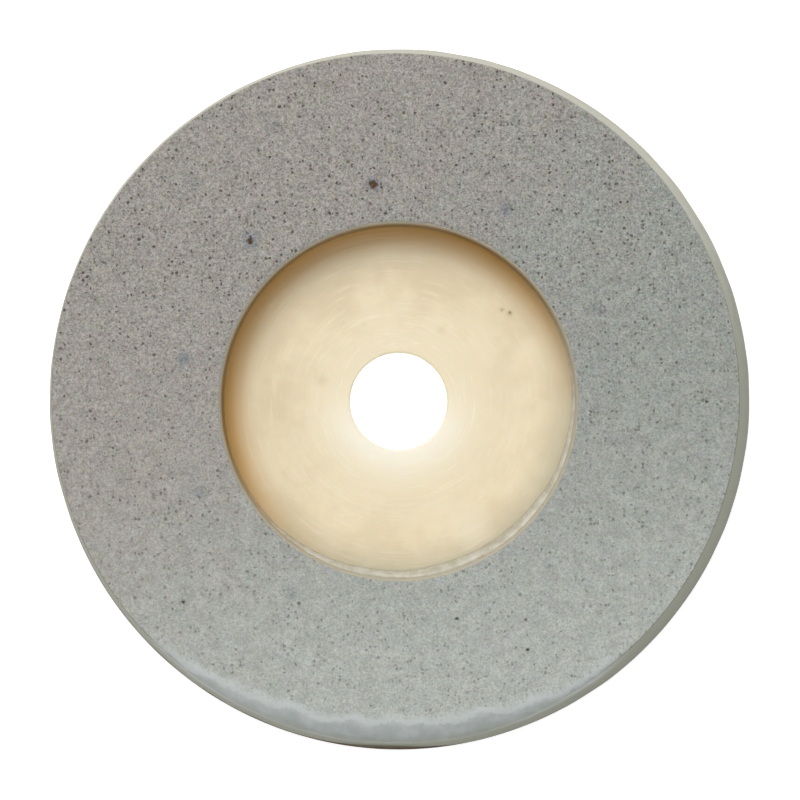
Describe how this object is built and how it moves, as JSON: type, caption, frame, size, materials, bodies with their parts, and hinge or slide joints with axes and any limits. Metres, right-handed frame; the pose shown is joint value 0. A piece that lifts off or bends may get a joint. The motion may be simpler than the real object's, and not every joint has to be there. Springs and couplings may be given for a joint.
{
  "type": "diamond grinding wheel",
  "caption": "Flat face-grinding wheel: a grey resin-bonded abrasive ring glued and screwed to an ivory plastic plate with a plain arbor bore.",
  "frame": {"origin": "centre of the arbor bore on the backing plate's back face, which is the face that the wheel lies on", "axes": "+Z along the arbor bore, from the back face towards the grinding face; the wheel is round about +Z, so +X and +Y are free"},
  "size_m": [0.15, 0.15, 0.016],
  "materials": {
    "ivory_plastic": "satin",
    "clear_glue": "gloss",
    "grey_abrasive": "matte",
    "screw_steel": "satin"
  },
  "bodies": {
    "root": {"backing_plate": "ivory_plastic", "glue_layer": "clear_glue", "abrasive_ring": "grey_abrasive", "glue_bead": "clear_glue", "retaining_screw_01": "screw_steel", "retaining_screw_02": "screw_steel", "retaining_screw_03": "screw_steel", "retaining_screw_04": "screw_steel", "retaining_screw_05": "screw_steel", "retaining_screw_06": "screw_steel", "retaining_screw_07": "screw_steel", "retaining_screw_08": "screw_steel", "retaining_screw_09": "screw_steel", "retaining_screw_10": "screw_steel"}
  },
  "joints": []
}
